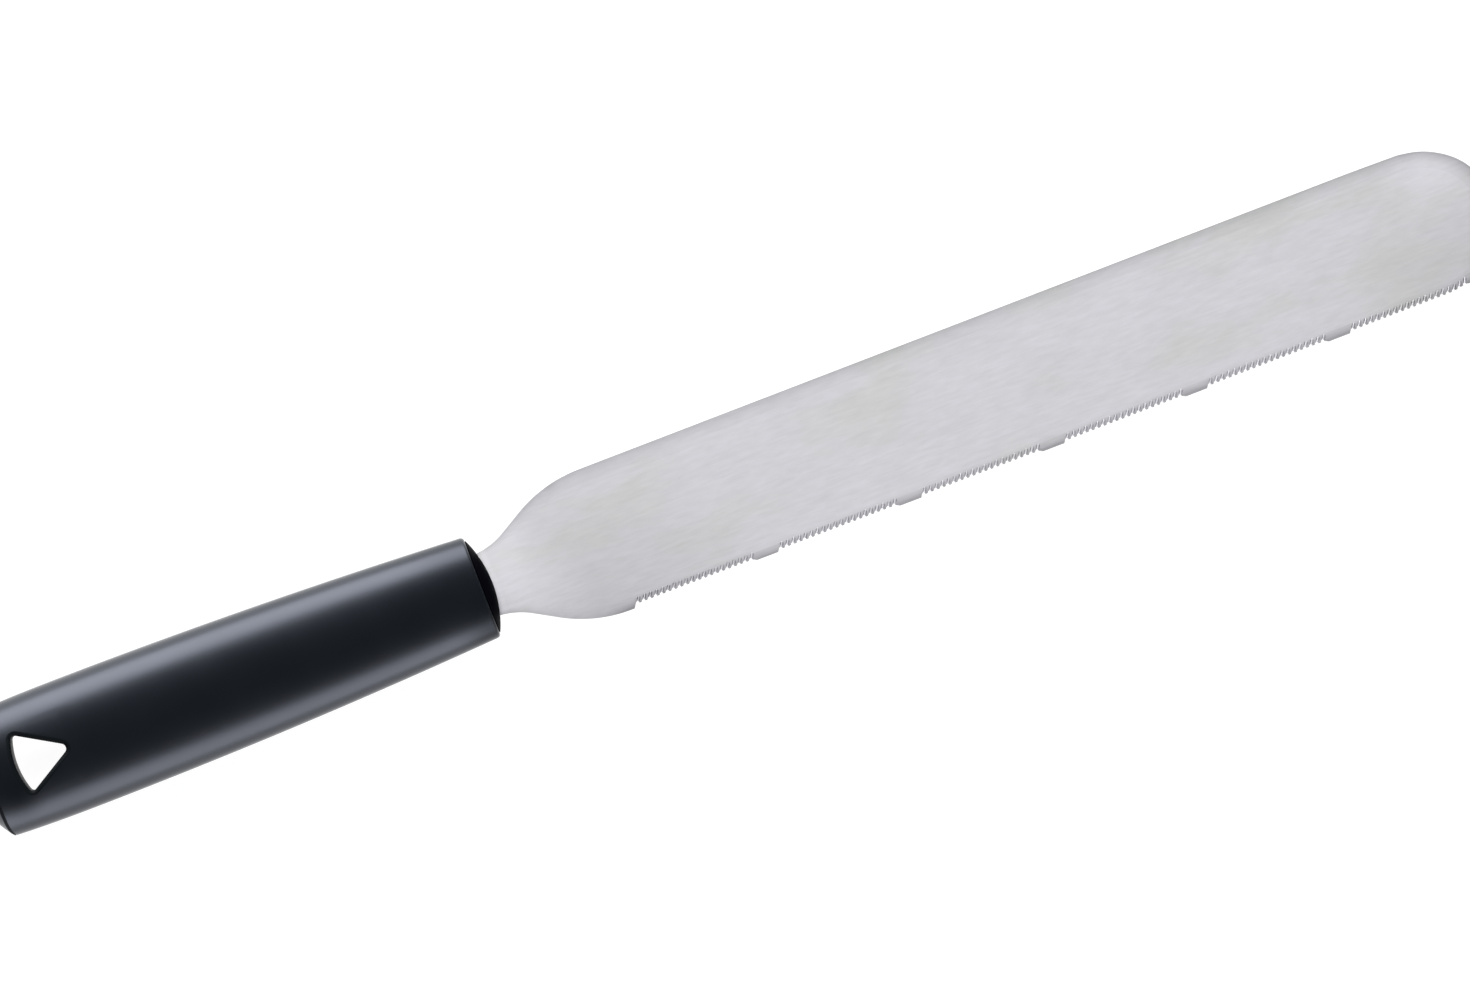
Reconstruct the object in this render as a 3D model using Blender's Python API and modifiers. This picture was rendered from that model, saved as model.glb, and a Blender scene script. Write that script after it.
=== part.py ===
"""Serrated icing spatula: a straight, round-tipped blade with a toothed edge, in a hollow oval handle.

The tool lies flat. X runs from the butt of the handle to the tip of the blade, Y from the toothed edge to the
spine, and Z is up. The origin is on the surface below it, under the middle of its length and width.
"""

import math

import bmesh
import bpy

# Driving dimensions, in metres

# Blade: a stainless steel plate
BLADE_LENGTH = 0.250  # from the front of the handle to the tip
BLADE_WIDTH = 0.035
BLADE_THICKNESS = 0.0012
NECK_WIDTH = 0.0153  # where the blade comes out of the handle
NECK_RADIUS = 0.018  # the hollow curve out of the neck
NECK_SLOPE = math.radians(30.0)
SHOULDER_RADIUS = 0.033  # the round curve into the full width
HEEL_LENGTH = 0.0013  # plain edge between the shoulder and the first gullet

# Toothed edge: runs of gullets, with a plain land after each run
TOOTH_PITCH = 0.001488
TOOTH_TIP = 0.00056  # flat left on each tooth
TOOTH_SETBACK = 0.00045  # from the lands in to the tooth tips
GULLET_DEPTH = 0.0005
GULLETS_PER_RUN = 20
PITCHES_PER_LAND = 4
GRIND_TAPER = 0.00042  # the ground edge starts this far in at the heel
GRIND_RUN = 0.105  # and comes out to the full width over this length
TEETH_ROUND_TIP = 0.0048  # how far the teeth go on past the start of the round tip

# Tang: the part of the blade inside the handle
TANG_WIDTH = 0.012
TANG_CORNER = 0.002
TANG_SETBACK = 0.022  # from the back of the core to the end of the tang

# Handle: an oval sleeve with a domed cap at each end
SLEEVE_LENGTH = 0.123
HANDLE_WIDTH = 0.0312  # at the belly, its widest place
HANDLE_THICKNESS = 0.019  # at the belly
BELLY_FROM_BUTT = 0.0204
BUTT_TAPER = 0.0005  # how much narrower the butt end of the sleeve is than the belly, on each side
FRONT_LIP = 0.00475  # the front of the handle stands this far outside the neck, on each side
SLEEVE_WALL = 0.0028
FRONT_DOME = 0.00275  # from the end of the sleeve to the front of the cap
BUTT_DOME = 0.005
CAP_RIM = 0.0004  # straight rim below each dome
FRONT_SPIGOT = 0.010  # length of the front cap inside the sleeve

# Hanging hole: a triangle with a curved base, its apex towards the blade
HOLE_SETBACK = 0.0068  # from the butt end of the sleeve to the middle of the base
HOLE_LENGTH = 0.012
HOLE_WIDTH = 0.0135
HOLE_BASE_RADIUS = 0.0188
HOLE_CORNER = 0.001
HOLE_APEX = 0.0012
HOLE_WALL = 0.0022  # of the chimney round the hole

# Tang core: two ribbed halves, pegged together through the tang
CORE_PLATE = 0.002
RIB_THICKNESS = 0.0024
RIB_COUNT = 6
PEG_DIAMETER = 0.005
PEG_INSET = 0.014  # from the front of the core, and from the end of the tang

# Clearance left between neighbours
FIT_GAP = 0.0003

# How far a cut runs on past the face that it opens
OVERCUT = 0.001

# Fineness of the curves
OVAL_SEGMENTS = 48
SLEEVE_STATIONS = 12
DOME_STEPS = 5
ARC_STEPS = 8
TIP_STEPS = 28
FLAT_ANGLE = math.radians(0.05)
SHARP_ANGLE = math.radians(35.0)
WELD = 0.000001

# Places along the tool, worked out from the sizes above
OVERALL_LENGTH = BUTT_DOME + SLEEVE_LENGTH + FRONT_DOME + BLADE_LENGTH
TIP_X = OVERALL_LENGTH / 2
FRONT_X = TIP_X - BLADE_LENGTH
SLEEVE_FRONT_X = FRONT_X - FRONT_DOME
SLEEVE_BUTT_X = SLEEVE_FRONT_X - SLEEVE_LENGTH
BUTT_X = SLEEVE_BUTT_X - BUTT_DOME
CORE_FRONT_X = SLEEVE_FRONT_X - FRONT_SPIGOT - FIT_GAP
HOLE_BASE_X = SLEEVE_BUTT_X + HOLE_SETBACK
CHIMNEY_NOSE_X = HOLE_BASE_X + HOLE_LENGTH + HOLE_WALL
CORE_BACK_X = CHIMNEY_NOSE_X + FIT_GAP
TANG_END_X = CORE_BACK_X + TANG_SETBACK
PEG_XS = (CORE_FRONT_X - PEG_INSET, TANG_END_X + PEG_INSET)
MID_Z = HANDLE_THICKNESS / 2

FRONT_WIDTH = NECK_WIDTH + 2 * FRONT_LIP
BUTT_WIDTH = HANDLE_WIDTH - 2 * BUTT_TAPER
TANG_CLEAR = BLADE_THICKNESS / 2 + FIT_GAP  # from the middle of the tang to the face of each core half
PEG_HOLE = PEG_DIAMETER + 2 * FIT_GAP
CORE_INSET = SLEEVE_WALL + FIT_GAP
END_RECESS = HOLE_SETBACK - HOLE_WALL  # depth of the sleeve's socket for the end cap
TIP_CENTRE_X = TIP_X - BLADE_WIDTH / 2


def new_collection(name):
    collection = bpy.data.collections.new(name)
    bpy.context.scene.collection.children.link(collection)
    return collection


def finish(name, colour, metallic, roughness):
    """A plain material for one piece, its colour given as linear RGB."""
    material = bpy.data.materials.new(name)
    material.use_nodes = True
    shader = material.node_tree.nodes["Principled BSDF"]
    shader.inputs["Base Color"].default_value = (*colour, 1.0)
    shader.inputs["Metallic"].default_value = metallic
    shader.inputs["Roughness"].default_value = roughness
    return material


def arc(centre_x, centre_y, radius, start, end, steps=ARC_STEPS):
    """Points along a circle from one angle to another, both ends included."""
    angles = (start + (end - start) * i / steps for i in range(steps + 1))
    return [(centre_x + radius * math.cos(a), centre_y + radius * math.sin(a)) for a in angles]


def as_cutter(piece):
    """Moves a shape to the cutters, which are not pieces of the tool."""
    piece.users_collection[0].objects.unlink(piece)
    CUTTERS.objects.link(piece)
    piece.hide_render = True
    piece.display_type = "WIRE"
    return piece


def combine(piece, tool, operation):
    """Cuts a shape from a piece, or joins it on, with a Boolean."""
    boolean = piece.modifiers.new(tool.name, "BOOLEAN")
    boolean.operation = operation
    boolean.object = as_cutter(tool)


def as_mesh(name, guide):
    """Turns a curve, or a profile with its modifier, into a welded mesh in the same place."""
    PIECES.objects.link(guide)
    bpy.context.view_layer.update()
    mesh = bpy.data.meshes.new_from_object(guide.evaluated_get(bpy.context.evaluated_depsgraph_get()))
    welded = bmesh.new()
    welded.from_mesh(mesh)
    bmesh.ops.remove_doubles(welded, verts=welded.verts, dist=WELD)
    bmesh.ops.dissolve_limit(welded, angle_limit=FLAT_ANGLE, verts=welded.verts, edges=welded.edges)
    bmesh.ops.triangulate(welded, faces=welded.faces, ngon_method="BEAUTY")
    welded.to_mesh(mesh)
    welded.free()
    mesh.shade_smooth()
    mesh.set_sharp_from_angle(angle=SHARP_ANGLE)
    piece = bpy.data.objects.new(name, mesh)
    piece.matrix_world = guide.matrix_world
    PIECES.objects.link(piece)
    bpy.data.objects.remove(guide)
    return piece


def turned(name, profile, ratio):
    """A shape turned about X from (x, radius) points, front to back, then pressed to an oval in Z."""
    mesh = bpy.data.meshes.new(name + "_profile")
    edges = [(i, i + 1) for i in range(len(profile) - 1)]
    mesh.from_pydata([(radius, 0.0, x) for x, radius in profile], edges, [])
    guide = bpy.data.objects.new(name + "_profile", mesh)
    screw = guide.modifiers.new("Turn", "SCREW")
    screw.steps = OVAL_SEGMENTS
    screw.render_steps = OVAL_SEGMENTS
    screw.use_merge_vertices = True
    screw.merge_threshold = WELD
    guide.rotation_euler.y = math.pi / 2
    guide.scale.x = ratio
    guide.location.z = MID_Z
    return as_mesh(name, guide)


def plate(name, outlines, thickness):
    """A flat plate from an outline and its holes, lying on the tool's middle plane."""
    curve = bpy.data.curves.new(name, "CURVE")
    curve.dimensions = "2D"
    curve.fill_mode = "BOTH"
    curve.extrude = thickness / 2
    for outline in outlines:
        spline = curve.splines.new("POLY")
        spline.points.add(len(outline) - 1)
        for point, (x, y) in zip(spline.points, outline):
            point.co = (x, y, 0.0, 1.0)
        spline.use_cyclic_u = True
    guide = bpy.data.objects.new(name + "_outline", curve)
    guide.location.z = MID_Z
    return as_mesh(name, guide)


def block(name, *spans):
    """A box over a span of X, one of Y and one of Z, each given from either end."""
    bpy.ops.mesh.primitive_cube_add(size=1.0, location=[(a + b) / 2 for a, b in spans])
    return adopt(name, [abs(b - a) for a, b in spans])


def rod(name, diameter, x, low_z, high_z):
    """An upright cylinder on the tool's centre line."""
    centre = (x, 0.0, (low_z + high_z) / 2)
    bpy.ops.mesh.primitive_cylinder_add(
        vertices=OVAL_SEGMENTS // 2, radius=diameter / 2, depth=high_z - low_z, location=centre
    )
    return adopt(name, (1.0, 1.0, 1.0))


def adopt(name, scale):
    """Names the shape just added, sizes it and puts it among the pieces."""
    piece = bpy.context.object
    piece.name = name
    piece.scale = scale
    for collection in piece.users_collection:
        collection.objects.unlink(piece)
    PIECES.objects.link(piece)
    return piece


def half_width(x):
    """Half the width of the handle, a shallow curve that is fullest at the belly and narrows to both ends."""
    belly_x = SLEEVE_BUTT_X + BELLY_FROM_BUTT
    end_x, end_width = (SLEEVE_FRONT_X, FRONT_WIDTH) if x > belly_x else (SLEEVE_BUTT_X, BUTT_WIDTH)
    along = (x - belly_x) / (end_x - belly_x)
    return HANDLE_WIDTH / 2 - (HANDLE_WIDTH - end_width) / 2 * along**2


def oval_ratio(inset):
    """Thickness over width of the handle's oval, drawn in by the same inset all round at the belly."""
    return (HANDLE_THICKNESS / 2 - inset) / (HANDLE_WIDTH / 2 - inset)


def oval_bar(name, front_x, back_x, inset):
    """A bar that follows the handle's shape at some inset between two places along it, with flat ends."""
    xs = [front_x + (back_x - front_x) * i / SLEEVE_STATIONS for i in range(SLEEVE_STATIONS + 1)]
    side = [(x, half_width(x) - inset) for x in xs]
    return turned(name, [(front_x, 0.0), *side, (back_x, 0.0)], oval_ratio(inset))


def dome(radius, height):
    """(rise, radius) points of a domed end, from its apex to its edge."""
    sphere = (radius**2 + height**2) / (2 * height)
    quarter = math.pi / 2
    half_angle = math.asin(radius / sphere)
    side = arc(0.0, height - sphere, sphere, quarter, quarter - half_angle, DOME_STEPS)
    return [(rise, out) for out, rise in side]


def hole_outline(grow):
    """The hanging hole's outline, grown outwards by the same distance all round."""
    apex_x = HOLE_BASE_X + HOLE_LENGTH - HOLE_APEX
    base_centre_x = HOLE_BASE_X + HOLE_BASE_RADIUS
    corner_y = HOLE_WIDTH / 2 - HOLE_CORNER
    corner_reach = HOLE_BASE_RADIUS - HOLE_CORNER
    corner_x = base_centre_x - math.sqrt(corner_reach**2 - corner_y**2)
    side_length = math.hypot(apex_x - corner_x, corner_y)
    side_lean = math.atan2(-corner_y, apex_x - corner_x)
    side_normal = side_lean + math.acos((HOLE_CORNER - HOLE_APEX) / side_length)
    base_edge = math.pi - math.asin(corner_y / corner_reach)
    full_turn = 2 * math.pi
    return [
        *arc(apex_x, 0.0, HOLE_APEX + grow, -side_normal, side_normal),
        *arc(corner_x, corner_y, HOLE_CORNER + grow, side_normal, base_edge),
        *arc(base_centre_x, 0.0, HOLE_BASE_RADIUS + grow, base_edge, full_turn - base_edge)[1:-1],
        *arc(corner_x, -corner_y, HOLE_CORNER + grow, full_turn - base_edge, full_turn - side_normal),
    ]


def neck_side():
    """One side of the blade, from the end of the tang to the full width: (x, distance from the middle)."""
    rise = (BLADE_WIDTH - NECK_WIDTH) / 2
    radii = NECK_RADIUS + SHOULDER_RADIUS
    slope = min(NECK_SLOPE, math.acos(1 - rise / radii))
    straight = (rise - radii * (1 - math.cos(slope))) / math.sin(slope)
    shoulder_x = SLEEVE_FRONT_X + radii * math.sin(slope) + straight * math.cos(slope)
    quarter = math.pi / 2
    return [
        *arc(TANG_END_X + TANG_CORNER, TANG_WIDTH / 2 - TANG_CORNER, TANG_CORNER, 2 * quarter, quarter),
        (SLEEVE_FRONT_X - FRONT_SPIGOT, TANG_WIDTH / 2),
        *arc(SLEEVE_FRONT_X, NECK_WIDTH / 2 + NECK_RADIUS, NECK_RADIUS, -quarter, slope - quarter),
        *arc(shoulder_x, BLADE_WIDTH / 2 - SHOULDER_RADIUS, SHOULDER_RADIUS, quarter + slope, quarter),
    ]


def edge_y(x, heel_x):
    """The plain lower edge of the blade, coming out from the heel, straight, and then rising round the tip."""
    inset = GRIND_TAPER * max(0.0, 1 - (x - heel_x) / GRIND_RUN)
    past = max(0.0, x - TIP_CENTRE_X)
    return inset - math.sqrt((BLADE_WIDTH / 2) ** 2 - past**2)


def toothed_edge(heel_x):
    """The lower edge from the heel to the last gullet: runs of gullets, each followed by a land."""
    opening = TOOTH_PITCH - TOOTH_TIP
    places = int((TIP_CENTRE_X + TEETH_ROUND_TIP - heel_x) / TOOTH_PITCH)
    cycle = GULLETS_PER_RUN + PITCHES_PER_LAND
    points = [(heel_x, -BLADE_WIDTH / 2)]
    for place in range(places):
        turn = place % cycle
        if turn >= GULLETS_PER_RUN:
            continue
        start_x = heel_x + place * TOOTH_PITCH
        end_x = start_x + opening
        land_y = edge_y(start_x, heel_x)
        tip_y = land_y + TOOTH_SETBACK
        floor_y = tip_y + GULLET_DEPTH
        if turn == 0 and place > 0:
            points.append((start_x, land_y))
        points.append((start_x, tip_y))
        points.append((start_x + opening / 3, floor_y))
        points.append((end_x - opening / 3, floor_y))
        points.append((end_x, tip_y))
        if turn == GULLETS_PER_RUN - 1 or place == places - 1:
            points.append((end_x, edge_y(end_x, heel_x)))
    return points


def make_blade():
    """The blade and its tang in one plate, with two holes for the core's pegs."""
    side = neck_side()
    heel_x = side[-1][0] + HEEL_LENGTH
    teeth = toothed_edge(heel_x)
    last_x, last_y = teeth[-1]
    tip_start = math.atan2(last_y, max(0.0, last_x - TIP_CENTRE_X))
    tip = arc(TIP_CENTRE_X, 0.0, BLADE_WIDTH / 2, tip_start, math.pi / 2, TIP_STEPS)
    outline = [(x, -y) for x, y in side] + teeth + tip + side[::-1]
    holes = [arc(x, 0.0, PEG_HOLE / 2, 0.0, 2 * math.pi, OVAL_SEGMENTS // 2)[:-1] for x in PEG_XS]
    return plate("blade", [outline, *holes], BLADE_THICKNESS)


def make_handle_shell():
    """The sleeve: hollow from the front, with a socket at the butt and a chimney round the hanging hole."""
    shell = oval_bar("handle_shell", SLEEVE_FRONT_X, SLEEVE_BUTT_X, 0.0)
    through = 2 * HANDLE_THICKNESS
    finger_end_x = HOLE_BASE_X + HOLE_WALL

    hollow = oval_bar("sleeve_hollow", SLEEVE_FRONT_X + OVERCUT, finger_end_x, SLEEVE_WALL)
    combine(hollow, plate("chimney", [hole_outline(HOLE_WALL)], through), "DIFFERENCE")
    combine(shell, hollow, "DIFFERENCE")

    socket = oval_bar("end_socket", SLEEVE_BUTT_X + END_RECESS, SLEEVE_BUTT_X - OVERCUT, SLEEVE_WALL)
    combine(shell, socket, "DIFFERENCE")
    combine(shell, plate("hanging_hole", [hole_outline(0.0)], through), "DIFFERENCE")
    return shell


def make_front_cap():
    """The domed front of the handle, with a spigot in the sleeve and a slot for the neck."""
    seat_x = SLEEVE_FRONT_X + FIT_GAP
    rim_x = seat_x + CAP_RIM
    radius = half_width(SLEEVE_FRONT_X)
    profile = [(rim_x + rise, r) for rise, r in dome(radius, FRONT_X - rim_x)]
    cap = turned("front_cap", [*profile, (seat_x, radius), (seat_x, 0.0)], oval_ratio(0.0))
    spigot = oval_bar("front_spigot", rim_x, SLEEVE_FRONT_X - FRONT_SPIGOT, CORE_INSET)
    combine(cap, spigot, "UNION")

    flare = NECK_RADIUS - math.sqrt(NECK_RADIUS**2 - FRONT_DOME**2)
    slot_y = NECK_WIDTH / 2 + flare + FIT_GAP
    slot_xs = (SLEEVE_FRONT_X - FRONT_SPIGOT - OVERCUT, FRONT_X + OVERCUT)
    slot = block("neck_slot", slot_xs, (-slot_y, slot_y), (MID_Z - TANG_CLEAR, MID_Z + TANG_CLEAR))
    combine(cap, slot, "DIFFERENCE")
    return cap


def make_end_cap():
    """The domed butt of the handle, with a short spigot in the sleeve's socket."""
    seat_x = SLEEVE_BUTT_X - FIT_GAP
    rim_x = seat_x - CAP_RIM
    radius = half_width(SLEEVE_BUTT_X)
    profile = [(rim_x - rise, r) for rise, r in reversed(dome(radius, rim_x - BUTT_X))]
    cap = turned("end_cap", [(seat_x, 0.0), (seat_x, radius), *profile], oval_ratio(0.0))
    spigot = oval_bar("end_spigot", SLEEVE_BUTT_X + END_RECESS - FIT_GAP, rim_x, CORE_INSET)
    combine(cap, spigot, "UNION")
    return cap


def make_tang_core(name, side):
    """One half of the core, above the tang for side 1 or below it for side -1, ribbed on its outer face."""
    half = oval_bar(name, CORE_FRONT_X, CORE_BACK_X, CORE_INSET)
    face_z = MID_Z + side * TANG_CLEAR
    other_xs = (CORE_BACK_X - OVERCUT, CORE_FRONT_X + OVERCUT)
    other_zs = (face_z, MID_Z - side * HANDLE_THICKNESS)
    other_half = block(f"{name}_other_half", other_xs, (-HANDLE_WIDTH, HANDLE_WIDTH), other_zs)
    combine(half, other_half, "DIFFERENCE")

    pocket_zs = (face_z + side * CORE_PLATE, MID_Z + side * HANDLE_THICKNESS)
    rib_pitch = (CORE_FRONT_X - CORE_BACK_X - RIB_THICKNESS) / (RIB_COUNT - 1)
    for i in range(RIB_COUNT - 1):
        pocket_xs = (CORE_BACK_X + RIB_THICKNESS + i * rib_pitch, CORE_BACK_X + (i + 1) * rib_pitch)
        for hand in (1, -1):
            pocket_ys = (hand * RIB_THICKNESS / 2, hand * HANDLE_WIDTH)
            combine(half, block(f"{name}_pocket", pocket_xs, pocket_ys, pocket_zs), "DIFFERENCE")
    return half


def make_tang_cores():
    """The two halves: pegs on the upper one pass through the tang into sockets in the lower one."""
    upper = make_tang_core("tang_core_upper", 1)
    lower = make_tang_core("tang_core_lower", -1)
    peg_end = TANG_CLEAR + CORE_PLATE
    for i, x in enumerate(PEG_XS):
        peg = rod(f"peg_{i}", PEG_DIAMETER, x, MID_Z - peg_end, MID_Z + TANG_CLEAR + CORE_PLATE / 2)
        combine(upper, peg, "UNION")
        socket = rod(f"peg_socket_{i}", PEG_HOLE, x, MID_Z - peg_end - FIT_GAP, MID_Z)
        combine(lower, socket, "DIFFERENCE")
    return upper, lower


for old in list(bpy.data.objects):
    bpy.data.objects.remove(old)
PIECES = new_collection("icing_spatula")
CUTTERS = new_collection("cutters")

blade = make_blade()
handle_shell = make_handle_shell()
front_cap = make_front_cap()
end_cap = make_end_cap()
tang_core_upper, tang_core_lower = make_tang_cores()

blade.data.materials.append(finish("satin_stainless_steel", (0.60, 0.60, 0.62), 1.0, 0.35))
handle_shell.data.materials.append(finish("satin_black_polypropylene", (0.010, 0.011, 0.013), 0.0, 0.42))
for cap in (front_cap, end_cap):
    cap.data.materials.append(finish(cap.name + "_black_polypropylene", (0.006, 0.006, 0.008), 0.0, 0.38))
for core in (tang_core_upper, tang_core_lower):
    core.data.materials.append(finish(core.name + "_grey_polypropylene", (0.10, 0.10, 0.10), 0.0, 0.55))

root = bpy.data.objects.new("spatula", None)
PIECES.objects.link(root)
for piece in (blade, handle_shell, front_cap, end_cap, tang_core_upper, tang_core_lower):
    piece.parent = root
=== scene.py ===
import math

import bmesh
import bpy
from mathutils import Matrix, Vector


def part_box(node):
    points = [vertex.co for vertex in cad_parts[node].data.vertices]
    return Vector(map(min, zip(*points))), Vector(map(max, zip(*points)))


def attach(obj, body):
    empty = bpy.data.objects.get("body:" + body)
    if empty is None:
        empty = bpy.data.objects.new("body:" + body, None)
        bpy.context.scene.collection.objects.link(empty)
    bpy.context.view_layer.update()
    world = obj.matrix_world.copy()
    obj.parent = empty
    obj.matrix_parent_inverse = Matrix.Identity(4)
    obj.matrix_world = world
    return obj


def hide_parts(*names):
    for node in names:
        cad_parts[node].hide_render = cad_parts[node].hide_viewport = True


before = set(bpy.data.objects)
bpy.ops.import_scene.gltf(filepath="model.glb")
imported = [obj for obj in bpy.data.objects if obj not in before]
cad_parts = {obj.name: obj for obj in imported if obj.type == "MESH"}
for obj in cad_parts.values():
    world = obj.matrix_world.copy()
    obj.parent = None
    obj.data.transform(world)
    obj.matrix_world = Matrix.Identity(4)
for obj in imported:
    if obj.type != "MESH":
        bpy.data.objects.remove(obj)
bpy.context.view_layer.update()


# Blade: one stainless steel plate, blanked, rolled over at its edges and ground satin along its length.
# The toothed edge is ground from the upper face, in runs of gullets with plain lands between them.
# Behind the neck it goes on as a narrow tang with two holes, which the pegs of the core pass through.

blade_low, blade_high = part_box("blade")
sleeve_low, sleeve_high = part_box("handle_shell")
blade_half_width = (blade_high.y - blade_low.y) / 2
tip_centre_x = blade_high.x - blade_half_width
core_front_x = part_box("tang_core_upper")[1].x
sleeve_front_x = sleeve_high.x
cap_front_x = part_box("front_cap")[1].x

TANG_HALF_WIDTH = 0.006
TANG_CORNER = 0.002
TANG_FLARE = 0.010  # length behind the sleeve's front over which the tang widens to the neck
NECK_HALF_WIDTH = 0.00765
NECK_RADIUS = 0.018
NECK_SLOPE = math.radians(30.0)
SHOULDER_RADIUS = 0.033
HEEL_LENGTH = 0.0013

TOOTH_PITCH = 0.001488
TOOTH_TIP = 0.00056
TOOTH_SETBACK = 0.00045  # from the lands in to the tooth tips
GULLET_DEPTH = 0.0004
GULLETS_PER_RUN = 20
PITCHES_PER_LAND = 4
RUNS = 6
RUN_START = 0.0004  # the step from a land in to the teeth
RUN_END = 0.0011  # the softer ramp out to the next land
GRIND_TAPER = 0.00042  # the ground edge starts this far in at the heel
GRIND_RUN = 0.105  # and comes out to the full width over this length
HEEL_GRIND = 0.012  # the bevel runs out over this length of the plain heel

NECK_ROLL = 0.0012  # how far in the edges of the tang and the neck are rounded over, and how deep
NECK_DROP = 0.00003
SPINE_ROLL = 0.0045  # the same for the spine
SPINE_DROP = 0.000126
SPINE_POWER = 2.0  # 2 is a round edge, and 1 a flat bevel
TIP_ROLL = 0.0038  # the same for the tip, which is a little nearer to a bevel
TIP_DROP = 0.00015
TIP_POWER = 1.75
EDGE_ROLL = 0.0028  # the same for the bevel ground along the toothed edge, out to the full width
EDGE_DROP = 0.00012
HEEL_DROP = 0.00006  # how deep the plain heel below the neck is rounded over
EDGE_BREAK = 0.09  # how much further, as a share of its depth, each edge but the teeth turns down at its rim
EDGE_BREAK_POWER = 8
BACK_DROP = 0.00008  # how deep the edges of the lower face are rounded over
BACK_POWER = 2.0
TIP_EASE = 0.00035  # how far inside its circle the tip lies where it curves down from the spine
TIP_EASE_RISE = (math.radians(30.0), math.radians(65.0))  # where, round the tip, that comes and goes
TIP_EASE_FALL = (math.radians(80.0), math.radians(100.0))
TIP_BLEND = 0.012  # how far behind the start of that circle the straight spine ends

TANG_CORNER_STEPS = 6
NECK_STEPS = 16
SHOULDER_STEPS = 24
RUN_START_STEPS = 4
TOOTHED_STEPS = 8
RUN_END_STEPS = 5
TIP_STEPS = 64
BEVEL_FADE_STEPS = 21  # steps of the tip over which the bevel of the toothed edge fades out
ROLL_STEPS = 7
ROLL_SPACING = 2  # the power by which the steps of a roll lie closer together towards the edge
SHARP_ANGLE = math.radians(38.0)  # edges that turn by more than this are shaded sharp
FLAT_FACE = 0.9999  # faces whose normal stands more upright than this are shaded flat

heel_reach = NECK_RADIUS + SHOULDER_RADIUS
neck_rise = blade_half_width - NECK_HALF_WIDTH - heel_reach * (1 - math.cos(NECK_SLOPE))
shoulder_x = sleeve_front_x + heel_reach * math.sin(NECK_SLOPE) + neck_rise / math.tan(NECK_SLOPE)
heel_x = shoulder_x + HEEL_LENGTH
run_pitch = (GULLETS_PER_RUN + PITCHES_PER_LAND) * TOOTH_PITCH
run_length = GULLETS_PER_RUN * TOOTH_PITCH - TOOTH_TIP


def along_arc(x, y, radius, start, end, steps, inward):
    """Points of an arc with their way into the plate: inward is -1 towards the centre, 1 away from it."""
    points = []
    for i in range(steps + 1):
        angle = start + (end - start) * i / steps
        out_x, out_y = math.cos(angle), math.sin(angle)
        points.append((x + radius * out_x, y + radius * out_y, inward * out_x, inward * out_y))
    return points


def ease(value, start, end):
    """0 before start, 1 after end, and a smooth step between them."""
    share = min(1.0, max(0.0, (value - start) / (end - start)))
    return share * share * (3 - 2 * share)


def ground_inset(x):
    """How far the ground edge lies inside the full width of the blade, at a place along it."""
    taper = GRIND_TAPER * max(0.0, 1 - (x - heel_x) / GRIND_RUN) * ease(x, heel_x, heel_x + RUN_START)
    place = (x - heel_x) % run_pitch
    toothed = ease(place, 0.0, RUN_START) - ease(place, run_length, run_length + RUN_END)
    return taper + TOOTH_SETBACK * toothed


def edge_point(x, inset):
    """A point of the lower edge, drawn in by an inset: straight, and then round the tip."""
    turn = math.asin(max(0.0, x - tip_centre_x) / blade_half_width)
    out_x, out_y = math.sin(turn), -math.cos(turn)
    reach = blade_half_width - inset
    return min(x, tip_centre_x) + reach * out_x, reach * out_y, -out_x, -out_y


def edge_places():
    """Places along the lower edge that its steps and ramps need."""
    places = []
    for run in range(RUNS):
        start = heel_x + run * run_pitch
        end = start + run_length
        places += [start + RUN_START * i / RUN_START_STEPS for i in range(RUN_START_STEPS + 1)]
        places += [
            start + RUN_START + (end - start - RUN_START) * i / TOOTHED_STEPS for i in range(1, TOOTHED_STEPS)
        ]
        places += [end + RUN_END * i / RUN_END_STEPS for i in range(RUN_END_STEPS + 1)]
    return places


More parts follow.
